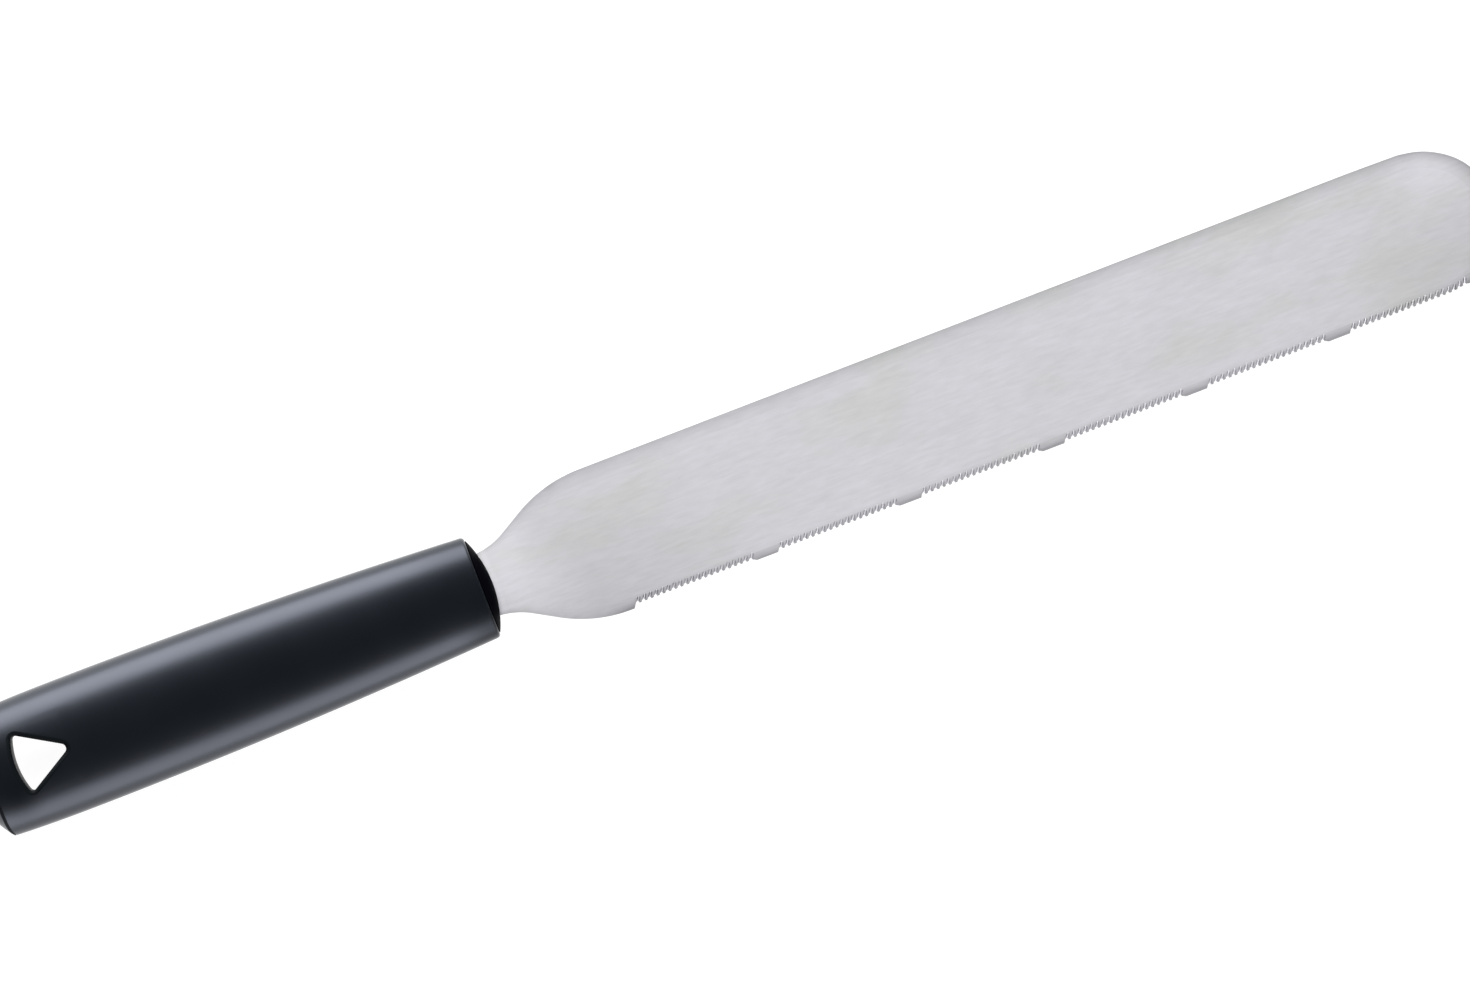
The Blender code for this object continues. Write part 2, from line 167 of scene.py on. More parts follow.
def blade_outline():
    """The outline of the plate, lower side first: x, y, way in x and y, roll, drop, power, last drop.

    The teeth lie inside the full width, so they are cut back into the bevel, which goes on as one surface.
    """
    quarter = math.pi / 2
    tang_corner = (blade_low.x + TANG_CORNER, TANG_HALF_WIDTH - TANG_CORNER, TANG_CORNER)
    neck = (sleeve_front_x, NECK_HALF_WIDTH + NECK_RADIUS, NECK_RADIUS)
    shoulder = (shoulder_x, blade_half_width - SHOULDER_RADIUS, SHOULDER_RADIUS)
    upper = [
        *along_arc(*tang_corner, 2 * quarter, quarter, TANG_CORNER_STEPS, -1),
        (sleeve_front_x - TANG_FLARE, TANG_HALF_WIDTH, 0.0, -1.0),
        *along_arc(*neck, -quarter, NECK_SLOPE - quarter, NECK_STEPS, 1),
        *along_arc(*shoulder, quarter + NECK_SLOPE, quarter, SHOULDER_STEPS, -1),
    ]
    heel = [(x, -y, way_x, -way_y) for x, y, way_x, way_y in upper]
    insets = {x: ground_inset(x) for x in edge_places()}
    teeth = [edge_point(x, inset) for x, inset in insets.items()]
    teeth_end = math.atan2(teeth[-1][1], teeth[-1][0] - tip_centre_x)
    tip_arc = along_arc(tip_centre_x, 0.0, blade_half_width, teeth_end, quarter, TIP_STEPS, -1)
    tip = []
    for x, y, way_x, way_y in tip_arc[1:]:
        angle = math.atan2(y, x - tip_centre_x)
        inset = TIP_EASE * (ease(angle, *TIP_EASE_RISE) - ease(angle, *TIP_EASE_FALL))
        tip.append((x + way_x * inset, y + way_y * inset, way_x, way_y))
    spine_end = (tip_centre_x - TIP_BLEND, blade_half_width, 0.0, -1.0)

    spine = (SPINE_ROLL, SPINE_DROP, SPINE_POWER)
    plain_heel = (SPINE_ROLL, HEEL_DROP, SPINE_POWER)
    round_tip = (TIP_ROLL, TIP_DROP, TIP_POWER)
    points = [(*point, *plain_heel, ease(point[0], heel_x - HEEL_GRIND, heel_x), 0.0) for point in heel]
    points += [(*point, *spine, 1.0, inset) for point, inset in zip(teeth, insets.values())]
    points += [(*point, *round_tip, 1.0 - ease(i, 0, BEVEL_FADE_STEPS), 0.0) for i, point in enumerate(tip)]
    points += [(*point, *spine, 0.0, 0.0) for point in (spine_end, *reversed(upper))]
    rolls = []
    for x, y, way_x, way_y, plain_roll, plain_drop, plain_power, ground, inset in points:
        grown = ease(x, sleeve_front_x, shoulder_x)
        full_roll = plain_roll + (EDGE_ROLL - plain_roll) * ground
        full_drop = plain_drop + (EDGE_DROP - plain_drop) * ground
        power = plain_power + (SPINE_POWER - plain_power) * ground
        roll = NECK_ROLL + (full_roll - NECK_ROLL) * grown
        drop = NECK_DROP + (full_drop - NECK_DROP) * grown
        left = 1 - inset / roll
        last_drop = EDGE_BREAK * drop * max(0.0, 1 - inset / TOOTH_SETBACK)
        rolls.append((x, y, way_x, way_y, roll * left, drop * left, power, last_drop))
    return rolls


def bridge(mesh, ring, other):
    """Fills the band between two closed rings of as many points, and gives its faces."""
    count = len(ring)
    faces = []
    for i in range(count):
        j = (i + 1) % count
        faces.append(mesh.faces.new((ring[i], ring[j], other[j], other[i])))
    return faces


def closed_mesh(name, mesh):
    """Turns a bmesh into an object at the origin, its faces pointing out, smooth but for its sharp edges."""
    bmesh.ops.recalc_face_normals(mesh, faces=mesh.faces)
    data = bpy.data.meshes.new(name)
    mesh.to_mesh(data)
    mesh.free()
    data.shade_smooth()
    data.set_sharp_from_angle(angle=SHARP_ANGLE)
    piece = bpy.data.objects.new(name, data)
    bpy.context.scene.collection.objects.link(piece)
    return piece


plate = bmesh.new()
outline = blade_outline()
rings = []
roll_shares = [(step / ROLL_STEPS) ** ROLL_SPACING for step in range(ROLL_STEPS + 1)]
for face, shares in (("lower", reversed(roll_shares)), ("upper", roll_shares)):
    for share in shares:
        out = 1 - share
        ring = []
        for x, y, way_x, way_y, roll, drop, power, last_drop in outline:
            if face == "lower":
                z = blade_low.z + BACK_DROP * out**BACK_POWER
            else:
                z = blade_high.z - drop * out**power - last_drop * out**EDGE_BREAK_POWER
            ring.append(plate.verts.new((x + way_x * roll * share, y + way_y * roll * share, z)))
        rings.append(ring)
for ring, other in zip(rings, rings[1:]):
    bridge(plate, ring, other)
plate.faces.new(rings[0])
plate.faces.new(rings[-1])
blade = closed_mesh("toothed_blade", plate)


def linear(colour):
    """Linear RGBA of an sRGB hex colour."""
    channels = [int(colour[i:i + 2], 16) / 255 for i in (1, 3, 5)]
    return [*(c / 12.92 if c <= 0.04045 else ((c + 0.055) / 1.055) ** 2.4 for c in channels), 1.0]


def add_node(tree, kind, inputs, **settings):
    """Adds a node to a tree with its settings. An input given as a socket is linked, any other is a value."""
    node = tree.nodes.new(kind)
    for name, value in settings.items():
        setattr(node, name, value)
    for name, value in inputs.items():
        if isinstance(value, bpy.types.NodeSocket):
            tree.links.new(value, node.inputs[name])
        else:
            node.inputs[name].default_value = value
    return node


def new_material(name):
    """A new material, its node tree, and a socket that gives the place on the piece."""
    material = bpy.data.materials.new(name)
    material.use_nodes = True
    tree = material.node_tree
    tree.nodes.clear()
    place = add_node(tree, "ShaderNodeTexCoord", {}).outputs["Object"]
    return material, tree, place


# Satin-ground stainless steel: grey metal whose fine lengthwise grain spreads the light across the blade, so
# it looks nearly matt, a little streaky and cloudy, with painted shade where it rolls over to an edge or a
# gullet.
STEEL_COOL = "#cccbd0"
STEEL_NEUTRAL = "#cacacb"
COOL_CLOUDS = (0.36, 0.5)  # where, in the noise of the clouds, the neutral grey turns to the cool one
STEEL_ROUGHNESS = 0.485
STEEL_ROUGHNESS_SPREAD = 0.05
STEEL_ANISOTROPY = 0.86
GRAIN_WIDTH = 0.0004  # coarser than the real grain of about 0.05 mm, so that it shows
GRAIN_LENGTH = 0.012
GRAIN_TONES = (0.975, 1.025)
GRAIN_BUMP = 0.15
GRAIN_HEIGHT = 0.00002
SCUFF_WIDTH = 0.0009  # short faint marks of use along the grain
SCUFF_LENGTH = 0.0045
SCUFF_TONES = (0.965, 1.035)
CLOUD_WIDTH = 0.013
CLOUD_LENGTH = 0.03
CLOUD_TONES = (0.981, 1.019)
MARK_NOISE = (0.3, 0.7)  # the range of a noise that its tones are spread over
STEEL_MARKS = {  # length, width, detail and roughness of the noise, and tones
    "grain": (GRAIN_LENGTH, GRAIN_WIDTH, 3.0, 0.6, GRAIN_TONES),
    "scuffs": (SCUFF_LENGTH, SCUFF_WIDTH, 2.0, 0.6, SCUFF_TONES),
    "clouds": (CLOUD_LENGTH, CLOUD_WIDTH, 3.0, 0.55, CLOUD_TONES),
}
PAINTED_LIGHT_AND_SHADE_SPOTS = {  # painted light and shade: darker and lighter spots on the steel: along and across the blade, reach and tone
    "heel": (sleeve_front_x + 0.024, -0.026, 0.05, 0.82),
    "neck": (sleeve_front_x + 0.003, 0.006, 0.017, 1.13),
    "throat": (sleeve_front_x + 0.011, -0.0045, 0.017, 1.09),
    "shoulder": (sleeve_front_x + 0.0229, 0.0181, 0.004, 0.82),
    "tip": (blade_high.x, -0.028, 0.055, 0.85),
    "tip_spine": (blade_high.x - 0.0111, 0.0116, 0.015, 1.1),
}
PAINTED_NECK_LIGHT = 1.12  # painted light: the last of the neck, in front of the handle, is drawn brighter against the front cap's shadow, fading over this length
PAINTED_NECK_LIGHT_LENGTH = 0.0014
PAINTED_SLOPE_SHADE = {  # painted shade: how light the steel is drawn, by the sine of its slope: rolled edges, gullets, cut sides
    0.0: 1.0, 0.017: 0.955, 0.032: 0.9, 0.046: 0.82, 0.056: 0.765, 0.066: 0.72, 0.08: 0.61,
    0.3: 0.5, 0.6: 1.0, 0.7: 1.0,
    0.84: 0.5, 1.0: 0.35,
}

steel, tree, place = new_material("satin_ground_stainless_steel")
marks = {}
tones = []
for mark, (length, width, detail, roughness, (dark, light)) in STEEL_MARKS.items():
    mark_place = add_node(tree, "ShaderNodeMapping", {
        "Vector": place, "Scale": (1 / length, 1 / width, 1 / width),
    }).outputs["Vector"]
    marks[mark] = add_node(tree, "ShaderNodeTexNoise", {
        "Vector": mark_place, "Scale": 1.0, "Detail": detail, "Roughness": roughness,
    }).outputs["Fac"]
    tones.append(add_node(tree, "ShaderNodeMapRange", {
        "Value": marks[mark], "From Min": MARK_NOISE[0], "From Max": MARK_NOISE[1],
        "To Min": dark, "To Max": light,
    }).outputs["Result"])
# Painted light and shade: the steel is drawn darker or lighter round each of these spots.
for spot_x, spot_y, reach, tone in PAINTED_LIGHT_AND_SHADE_SPOTS.values():
    away = add_node(tree, "ShaderNodeVectorMath", {
        0: place, 1: (spot_x, spot_y, blade_high.z),
    }, operation="DISTANCE").outputs["Value"]
    tones.append(add_node(tree, "ShaderNodeMapRange", {
        "Value": away, "From Max": reach, "To Min": tone, "To Max": 1.0,
    }, interpolation_type="SMOOTHSTEP").outputs["Result"])
# Painted light on the neck just in front of the handle, against the cap's shadow.
place_x = add_node(tree, "ShaderNodeSeparateXYZ", {"Vector": place}).outputs["X"]
tones.append(add_node(tree, "ShaderNodeMapRange", {
    "Value": place_x, "From Min": cap_front_x, "From Max": cap_front_x + PAINTED_NECK_LIGHT_LENGTH,
    "To Min": PAINTED_NECK_LIGHT, "To Max": 1.0,
}).outputs["Result"])
# Painted shade by slope: where the steel rolls over to an edge or into a gullet it is drawn darker.
normal = add_node(tree, "ShaderNodeNewGeometry", {}).outputs["Normal"]
level = add_node(tree, "ShaderNodeVectorMath", {
    0: normal, 1: (1.0, 1.0, 0.0),
}, operation="MULTIPLY").outputs["Vector"]
slope = add_node(tree, "ShaderNodeVectorMath", {0: level}, operation="LENGTH").outputs["Value"]
slope_shade_ramp = add_node(tree, "ShaderNodeValToRGB", {"Fac": slope})
stops = slope_shade_ramp.color_ramp.elements
for number, (sine, tone) in enumerate(PAINTED_SLOPE_SHADE.items()):
    stop = stops.new(sine) if number else stops[0]
    stop.position = sine
    stop.color = (tone, tone, tone, 1.0)
tones.append(slope_shade_ramp.outputs["Color"])
grain_and_painted_shade_tone = 1.0
for tone in tones:
    grain_and_painted_shade_tone = add_node(tree, "ShaderNodeMath", {
        0: tone, 1: grain_and_painted_shade_tone,
    }, operation="MULTIPLY").outputs["Value"]
cool_share = add_node(tree, "ShaderNodeMapRange", {
    "Value": marks["clouds"], "From Min": COOL_CLOUDS[0], "From Max": COOL_CLOUDS[1],
}).outputs["Result"]
cloud_colour = add_node(tree, "ShaderNodeMix", {
    "Factor": cool_share, "A": linear(STEEL_NEUTRAL), "B": linear(STEEL_COOL),
}, data_type="RGBA").outputs["Result"]
steel_colour = add_node(tree, "ShaderNodeVectorMath", {
    0: cloud_colour, "Scale": grain_and_painted_shade_tone,
}, operation="SCALE").outputs["Vector"]
steel_roughness = add_node(tree, "ShaderNodeMapRange", {
    "Value": marks["grain"],
    "To Min": STEEL_ROUGHNESS - STEEL_ROUGHNESS_SPREAD,
    "To Max": STEEL_ROUGHNESS + STEEL_ROUGHNESS_SPREAD,
}).outputs["Result"]
across = add_node(tree, "ShaderNodeCombineXYZ", {"Y": 1.0}).outputs["Vector"]
grain_bump = add_node(tree, "ShaderNodeBump", {
    "Height": marks["grain"], "Strength": GRAIN_BUMP, "Distance": GRAIN_HEIGHT,
}).outputs["Normal"]
steel_shader = add_node(tree, "ShaderNodeBsdfPrincipled", {
    "Base Color": steel_colour, "Metallic": 1.0, "Roughness": steel_roughness,
    "Anisotropic": STEEL_ANISOTROPY, "Tangent": across, "Normal": grain_bump,
}).outputs["BSDF"]
add_node(tree, "ShaderNodeOutputMaterial", {"Surface": steel_shader})

# Gullets and tang holes: a round-nosed wheel, leaned over and brought up through the plate at a slant, cuts
# each gullet, so a groove runs up the upper face from it. The holes are drilled straight through.
WHEEL_SLOPE = math.radians(40.0)
WHEEL_LEAN = math.radians(33.0)
WHEEL_LENGTH = 0.005
WHEEL_LIFT = 0.0016  # how far the wheel cuts open above its rounded nose
WHEEL_SIDES = 16
PEG_HOLES = 2
PEG_HOLE = 0.0056
PEG_INSET = 0.014  # from the front of the core, and from the end of the tang
PEG_HOLE_SIDES = 48

gullet_half_width = (TOOTH_PITCH - TOOTH_TIP) / 2
wheel_radius = gullet_half_width * math.cos(WHEEL_LEAN)
floor_reach = GULLET_DEPTH / math.cos(WHEEL_LEAN) - wheel_radius * math.sin(WHEEL_SLOPE)
wheel_place = (
    gullet_half_width + floor_reach * math.sin(WHEEL_LEAN),
    floor_reach * math.cos(WHEEL_LEAN),
    wheel_radius * math.cos(WHEEL_SLOPE),
)
GULLET_SIZES = {
    "First gullet": ("NodeSocketVector", (heel_x, 0.0, blade_low.z)),
    "Pitch": ("NodeSocketFloat", TOOTH_PITCH),
    "Places": ("NodeSocketInt", RUNS * GULLETS_PER_RUN + (RUNS - 1) * PITCHES_PER_LAND),
    "Gullets in a run": ("NodeSocketInt", GULLETS_PER_RUN),
    "Places in a run and a land": ("NodeSocketInt", GULLETS_PER_RUN + PITCHES_PER_LAND),
    "Half width": ("NodeSocketFloat", blade_half_width),
    "Tip centre": ("NodeSocketFloat", tip_centre_x),
    "Setback": ("NodeSocketFloat", TOOTH_SETBACK),
    "Taper": ("NodeSocketFloat", GRIND_TAPER),
    "Taper length": ("NodeSocketFloat", GRIND_RUN),
    "Wheel radius": ("NodeSocketFloat", wheel_radius),
    "Wheel length": ("NodeSocketFloat", WHEEL_LENGTH),
    "Wheel lift": ("NodeSocketVector", (0.0, -WHEEL_LIFT, 0.0)),
    "Wheel turn": ("NodeSocketVector", (WHEEL_SLOPE - math.pi / 2, 0.0, -WHEEL_LEAN)),
    "Wheel place": ("NodeSocketVector", wheel_place),
    "First hole": ("NodeSocketVector", (blade_low.x + PEG_INSET, 0.0, blade_low.z)),
    "Hole spacing": ("NodeSocketFloat", core_front_x - blade_low.x - 2 * PEG_INSET),
    "Hole radius": ("NodeSocketFloat", PEG_HOLE / 2),
    "Steel": ("NodeSocketMaterial", steel),
}

cuts = bpy.data.node_groups.new("gullets_and_holes", "GeometryNodeTree")
cuts.interface.new_socket("Geometry", in_out="INPUT", socket_type="NodeSocketGeometry")
cuts.interface.new_socket("Geometry", in_out="OUTPUT", socket_type="NodeSocketGeometry")
identifiers = {}
for name, (kind, value) in GULLET_SIZES.items():
    identifiers[name] = cuts.interface.new_socket(name, in_out="INPUT", socket_type=kind).identifier
given = add_node(cuts, "NodeGroupInput", {}).outputs

# A point for each pitch along the edge, without those that fall on a land.
step_along = add_node(cuts, "ShaderNodeCombineXYZ", {"X": given["Pitch"]}).outputs["Vector"]
line = add_node(cuts, "GeometryNodeMeshLine", {
    "Count": given["Places"], "Start Location": given["First gullet"], "Offset": step_along,
}).outputs["Mesh"]
index = add_node(cuts, "GeometryNodeInputIndex", {}).outputs["Index"]
turn_place = add_node(cuts, "ShaderNodeMath", {
    0: index, 1: given["Places in a run and a land"],
}, operation="MODULO").outputs["Value"]
in_run = add_node(cuts, "ShaderNodeMath", {
    0: turn_place, 1: given["Gullets in a run"],
}, operation="LESS_THAN").outputs["Value"]
in_land = add_node(cuts, "ShaderNodeMath", {0: 1.0, 1: in_run}, operation="SUBTRACT").outputs["Value"]
gullets = add_node(cuts, "GeometryNodeDeleteGeometry", {
    "Geometry": line, "Selection": in_land,
}, domain="POINT").outputs["Geometry"]

# Each point goes out to the line of the tooth tips, and turns with the edge round the tip of the blade.
place = add_node(cuts, "GeometryNodeInputPosition", {}).outputs["Position"]
place_x = add_node(cuts, "ShaderNodeSeparateXYZ", {"Vector": place}).outputs["X"]
past_tip = add_node(cuts, "ShaderNodeMath", {
    0: place_x, 1: given["Tip centre"],
}, operation="SUBTRACT").outputs["Value"]
past_share = add_node(cuts, "ShaderNodeMath", {
    0: past_tip, 1: given["Half width"],
}, operation="DIVIDE", use_clamp=True).outputs["Value"]
tip_turn = add_node(cuts, "ShaderNodeMath", {0: past_share}, operation="ARCSINE").outputs["Value"]
tip_cosine = add_node(cuts, "ShaderNodeMath", {0: tip_turn}, operation="COSINE").outputs["Value"]
heel_place = add_node(cuts, "ShaderNodeSeparateXYZ", {"Vector": given["First gullet"]}).outputs["X"]
taper_end = add_node(cuts, "ShaderNodeMath", {
    0: heel_place, 1: given["Taper length"],
}, operation="ADD").outputs["Value"]
taper = add_node(cuts, "ShaderNodeMapRange", {
    "Value": place_x, "From Min": heel_place, "From Max": taper_end, "To Min": given["Taper"], "To Max": 0.0,
}).outputs["Result"]
inset = add_node(cuts, "ShaderNodeMath", {
    0: given["Setback"], 1: taper,
}, operation="ADD").outputs["Value"]
reach = add_node(cuts, "ShaderNodeMath", {
    0: given["Half width"], 1: inset,
}, operation="SUBTRACT").outputs["Value"]
drop = add_node(cuts, "ShaderNodeMath", {0: reach, 1: tip_cosine}, operation="MULTIPLY").outputs["Value"]
edge_y = add_node(cuts, "ShaderNodeMath", {0: drop, 1: -1.0}, operation="MULTIPLY").outputs["Value"]
edge_shift = add_node(cuts, "ShaderNodeCombineXYZ", {"Y": edge_y}).outputs["Vector"]
at_edge = add_node(cuts, "GeometryNodeSetPosition", {
    "Geometry": gullets, "Offset": edge_shift,
}).outputs["Geometry"]
edge_turn = add_node(cuts, "ShaderNodeCombineXYZ", {"Z": tip_turn}).outputs["Vector"]

# The wheel, swept open above its nose and leaned over, stands at each point.
wheel = add_node(cuts, "GeometryNodeMeshCylinder", {
    "Vertices": WHEEL_SIDES, "Radius": given["Wheel radius"], "Depth": given["Wheel length"],
}).outputs["Mesh"]
lifted_wheel = add_node(cuts, "GeometryNodeTransform", {
    "Geometry": wheel, "Translation": given["Wheel lift"],
}).outputs["Geometry"]
wheel_pair = add_node(cuts, "GeometryNodeJoinGeometry", {"Geometry": wheel})
cuts.links.new(lifted_wheel, wheel_pair.inputs["Geometry"])
wheel_sweep = add_node(cuts, "GeometryNodeConvexHull", {
    "Geometry": wheel_pair.outputs["Geometry"],
}).outputs["Convex Hull"]
leaned_wheel = add_node(cuts, "GeometryNodeTransform", {
    "Geometry": wheel_sweep, "Translation": given["Wheel place"], "Rotation": given["Wheel turn"],
}).outputs["Geometry"]
wheels = add_node(cuts, "GeometryNodeInstanceOnPoints", {
    "Points": at_edge, "Instance": leaned_wheel, "Rotation": edge_turn,
}).outputs["Instances"]

hole_step = add_node(cuts, "ShaderNodeCombineXYZ", {"X": given["Hole spacing"]}).outputs["Vector"]
hole_line = add_node(cuts, "GeometryNodeMeshLine", {
    "Count": PEG_HOLES, "Start Location": given["First hole"], "Offset": hole_step,
}).outputs["Mesh"]
drill = add_node(cuts, "GeometryNodeMeshCylinder", {
    "Vertices": PEG_HOLE_SIDES, "Radius": given["Hole radius"], "Depth": given["Wheel length"],
}).outputs["Mesh"]
drills = add_node(cuts, "GeometryNodeInstanceOnPoints", {
    "Points": hole_line, "Instance": drill,
}).outputs["Instances"]

cut_away = add_node(cuts, "GeometryNodeJoinGeometry", {"Geometry": wheels})
cuts.links.new(drills, cut_away.inputs["Geometry"])
cut_blade = add_node(cuts, "GeometryNodeMeshBoolean", {
    "Mesh 1": given["Geometry"], "Mesh 2": cut_away.outputs["Geometry"],
}, operation="DIFFERENCE", solver="EXACT").outputs["Mesh"]
whole_blade = add_node(cuts, "GeometryNodeRealizeInstances", {"Geometry": cut_blade}).outputs["Geometry"]
steel_blade = add_node(cuts, "GeometryNodeSetMaterial", {
    "Geometry": whole_blade, "Material": given["Steel"],
}).outputs["Geometry"]
add_node(cuts, "NodeGroupOutput", {"Geometry": steel_blade})


def make_plain(piece, modifier):
    """Turns a piece with its modifier into a plain mesh."""
    mesh = bpy.data.meshes.new_from_object(piece.evaluated_get(bpy.context.evaluated_depsgraph_get()))
    piece.modifiers.remove(modifier)
    piece.data = mesh


grinding = blade.modifiers.new("Gullets and holes", "NODES")
grinding.node_group = cuts
for name, (kind, value) in GULLET_SIZES.items():
    grinding[identifiers[name]] = value
make_plain(blade, grinding)
blade.data.shade_smooth()
blade.data.set_sharp_from_angle(angle=SHARP_ANGLE)
for face in blade.data.polygons:
    face.use_smooth = abs(face.normal.z) < FLAT_FACE
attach(blade, "root")
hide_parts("blade")


# Tang core: two ribbed halves of polypropylene, pegged together through the tang, which centre the blade in
# the hollow sleeve. They are out of sight, so they keep the construction's own shape.

# Grey polypropylene as it leaves the mould: dull, with faint streaks along the way that it flowed.
CORE_GREY = "#5a5a58"
CORE_GREY_FLOW = "#63635f"
CORE_ROUGHNESS = (0.5, 0.6)
FLOW_WIDTH = 0.004
FLOW_LENGTH = 0.02
PLASTIC_DETAIL = 2.0  # how fine the unevenness in the plastics goes
POLYPROPYLENE_IOR = 1.49

core_plastic, tree, place = new_material("grey_moulded_polypropylene")
flow_place = add_node(tree, "ShaderNodeMapping", {
    "Vector": place, "Scale": (1 / FLOW_LENGTH, 1 / FLOW_WIDTH, 1 / FLOW_WIDTH),
}).outputs["Vector"]
flow = add_node(tree, "ShaderNodeTexNoise", {
    "Vector": flow_place, "Scale": 1.0, "Detail": PLASTIC_DETAIL,
}).outputs["Fac"]
core_colour = add_node(tree, "ShaderNodeMix", {
    "Factor": flow, "A": linear(CORE_GREY), "B": linear(CORE_GREY_FLOW),
}, data_type="RGBA").outputs["Result"]
core_roughness = add_node(tree, "ShaderNodeMapRange", {
    "Value": flow, "To Min": CORE_ROUGHNESS[0], "To Max": CORE_ROUGHNESS[1],
}).outputs["Result"]
core_shader = add_node(tree, "ShaderNodeBsdfPrincipled", {
    "Base Color": core_colour, "Roughness": core_roughness, "IOR": POLYPROPYLENE_IOR,
}).outputs["BSDF"]
add_node(tree, "ShaderNodeOutputMaterial", {"Surface": core_shader})
for node in ("tang_core_upper", "tang_core_lower"):
    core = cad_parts[node]
    core.data.materials.clear()
    core.data.materials.append(core_plastic)


# Sleeve: the black moulded polypropylene handle, oval, fullest near the butt and slimmer towards the blade,
# hollow from the front. The triangular hanging hole goes straight through it, with a rounded rim.

sleeve_butt_x = sleeve_low.x
handle_mid_z = (sleeve_low.z + sleeve_high.z) / 2
handle_half_width = (sleeve_high.y - sleeve_low.y) / 2
handle_half_thickness = (sleeve_high.z - sleeve_low.z) / 2
BELLY_FROM_BUTT = 0.0204
BUTT_TAPER = 0.0005  # how much narrower the butt end is than the belly, on each side
FRONT_HALF_WIDTH = 0.0124
SLEEVE_WALL = 0.0028
FRONT_EDGE = 0.0008  # the rounding at the front end
FRONT_EDGE_STEPS = 5
BUTT_EDGE = 0.00012  # the small edge at the butt end
BUTT_BOW = 0.0009  # how far the two sides of the butt end are cut back from its middle, in a tight curve
BOW_POWER = 12
SLEEVE_STATIONS = 40
BUTT_STEPS = 5
OVAL_SIDES = 180

HOLE_SETBACK = 0.0067  # from the butt end of the sleeve to the middle of the hole's base
HOLE_LENGTH = 0.0125
HOLE_WIDTH = 0.0135
HOLE_BASE_RADIUS = 0.0188
HOLE_CORNER = 0.001
HOLE_APEX = 0.0012
HOLE_MIDDLE = 0.4  # where the hole's middle lies, as a share of its length from the base
HOLE_WALL = 0.0018
HOLE_RIM = 0.0011  # the rounding of its rim
RIM_STEPS = 6
PLAIN_FINISH = 0
RIM_SHADE_FINISH = 1  # the second of the sleeve's two finishes, a duller copy of the plastic that paints shade on the rim and the walls of the hole
PATCH_STEPS = 6
PATCH_SPACING = 0.7  # the power by which the rings of the patch round the hole lie closer towards its rim
PATCH_HALF_SIDES = 18  # sides of the oval on each side of the top that the patch covers

belly_x = sleeve_butt_x + BELLY_FROM_BUTT
hole_base_x = sleeve_butt_x + HOLE_SETBACK
hole_apex_x = hole_base_x + HOLE_LENGTH
hole_middle_x = hole_base_x + HOLE_LENGTH * HOLE_MIDDLE
patch_front_x = hole_apex_x + HOLE_WALL
patch_back_x = hole_base_x - HOLE_WALL


def half_width(x):
    """Half the width of the handle, a shallow curve that is fullest at the belly and narrows to both ends."""
    front_taper = handle_half_width - FRONT_HALF_WIDTH
    end_x, taper = (sleeve_front_x, front_taper) if x > belly_x else (sleeve_butt_x, BUTT_TAPER)
    return handle_half_width - taper * ((x - belly_x) / (end_x - belly_x)) ** 2


def oval_ratio(inset):
    """Thickness over width of the handle's oval, drawn in by the same inset all round at the belly."""
    return (handle_half_thickness - inset) / (handle_half_width - inset)


def oval_ring(mesh, x, inset, bow=0.0, widest=None):
    """A ring of points round the handle's oval at a place along it, drawn in by an inset and bowed."""
    width = (half_width(x) if widest is None else widest) - inset
    height = width * oval_ratio(inset)
    ring = []
    for i in range(OVAL_SIDES):
        angle = 2 * math.pi * i / OVAL_SIDES
        out_y, out_z = math.cos(angle), math.sin(angle)
        place = (x + bow * out_y**BOW_POWER, width * out_y, handle_mid_z + height * out_z)
        ring.append(mesh.verts.new(place))
    return ring


def hole_reach(angle, grow):
    """Distance from the middle of the hole to its outline, grown all round, along one direction."""
    way_x, way_y = math.cos(angle), math.sin(angle)
    hand = math.copysign(1.0, way_y)
    corner_y = HOLE_WIDTH / 2 - HOLE_CORNER
    base_x = hole_base_x + HOLE_BASE_RADIUS
    corner_x = base_x - math.sqrt((HOLE_BASE_RADIUS - HOLE_CORNER) ** 2 - corner_y**2)
    apex_x = hole_apex_x - HOLE_APEX

    def leaves(x, y, radius):
        """Where the direction leaves a circle, measured from the middle of the hole, or None."""
        along = (x - hole_middle_x) * way_x + y * way_y
        off = (x - hole_middle_x) * way_y - y * way_x
        return along + math.sqrt(radius**2 - off**2) if abs(off) < radius else None

    def past_tangent(x, y, radius, from_angle, to_angle):
        """The reach of a rounded corner, where this direction meets the corner's own arc, or None."""
        reach = leaves(x, y, radius)
        if reach is None:
            return None
        at = math.atan2(hand * (reach * way_y - y), hole_middle_x + reach * way_x - x)
        return reach if from_angle <= at <= to_angle else None

    lean = math.atan2(-corner_y, apex_x - corner_x)
    side_length = math.hypot(apex_x - corner_x, corner_y)
    side_angle = lean + math.acos((HOLE_CORNER - HOLE_APEX) / side_length)
    side_x, side_y = math.cos(side_angle), math.sin(side_angle)
    side_gap = (apex_x - hole_middle_x) * side_x + HOLE_APEX + grow
    facing = way_x * side_x + abs(way_y) * side_y
    base_angle = math.pi - math.asin(corner_y / (HOLE_BASE_RADIUS - HOLE_CORNER))
    reaches = [
        leaves(base_x, 0.0, HOLE_BASE_RADIUS + grow),
        side_gap / facing if facing > 0 else None,
        past_tangent(corner_x, hand * corner_y, HOLE_CORNER + grow, side_angle, base_angle),
        past_tangent(apex_x, 0.0, HOLE_APEX + grow, 0.0, side_angle),
    ]
    return min(reach for reach in reaches if reach is not None)


def handle_height(x, y):
    """Height of the sleeve's surface above the handle's middle plane."""
    width = half_width(x)
    return oval_ratio(0.0) * math.sqrt(max(0.0, width**2 - y**2))


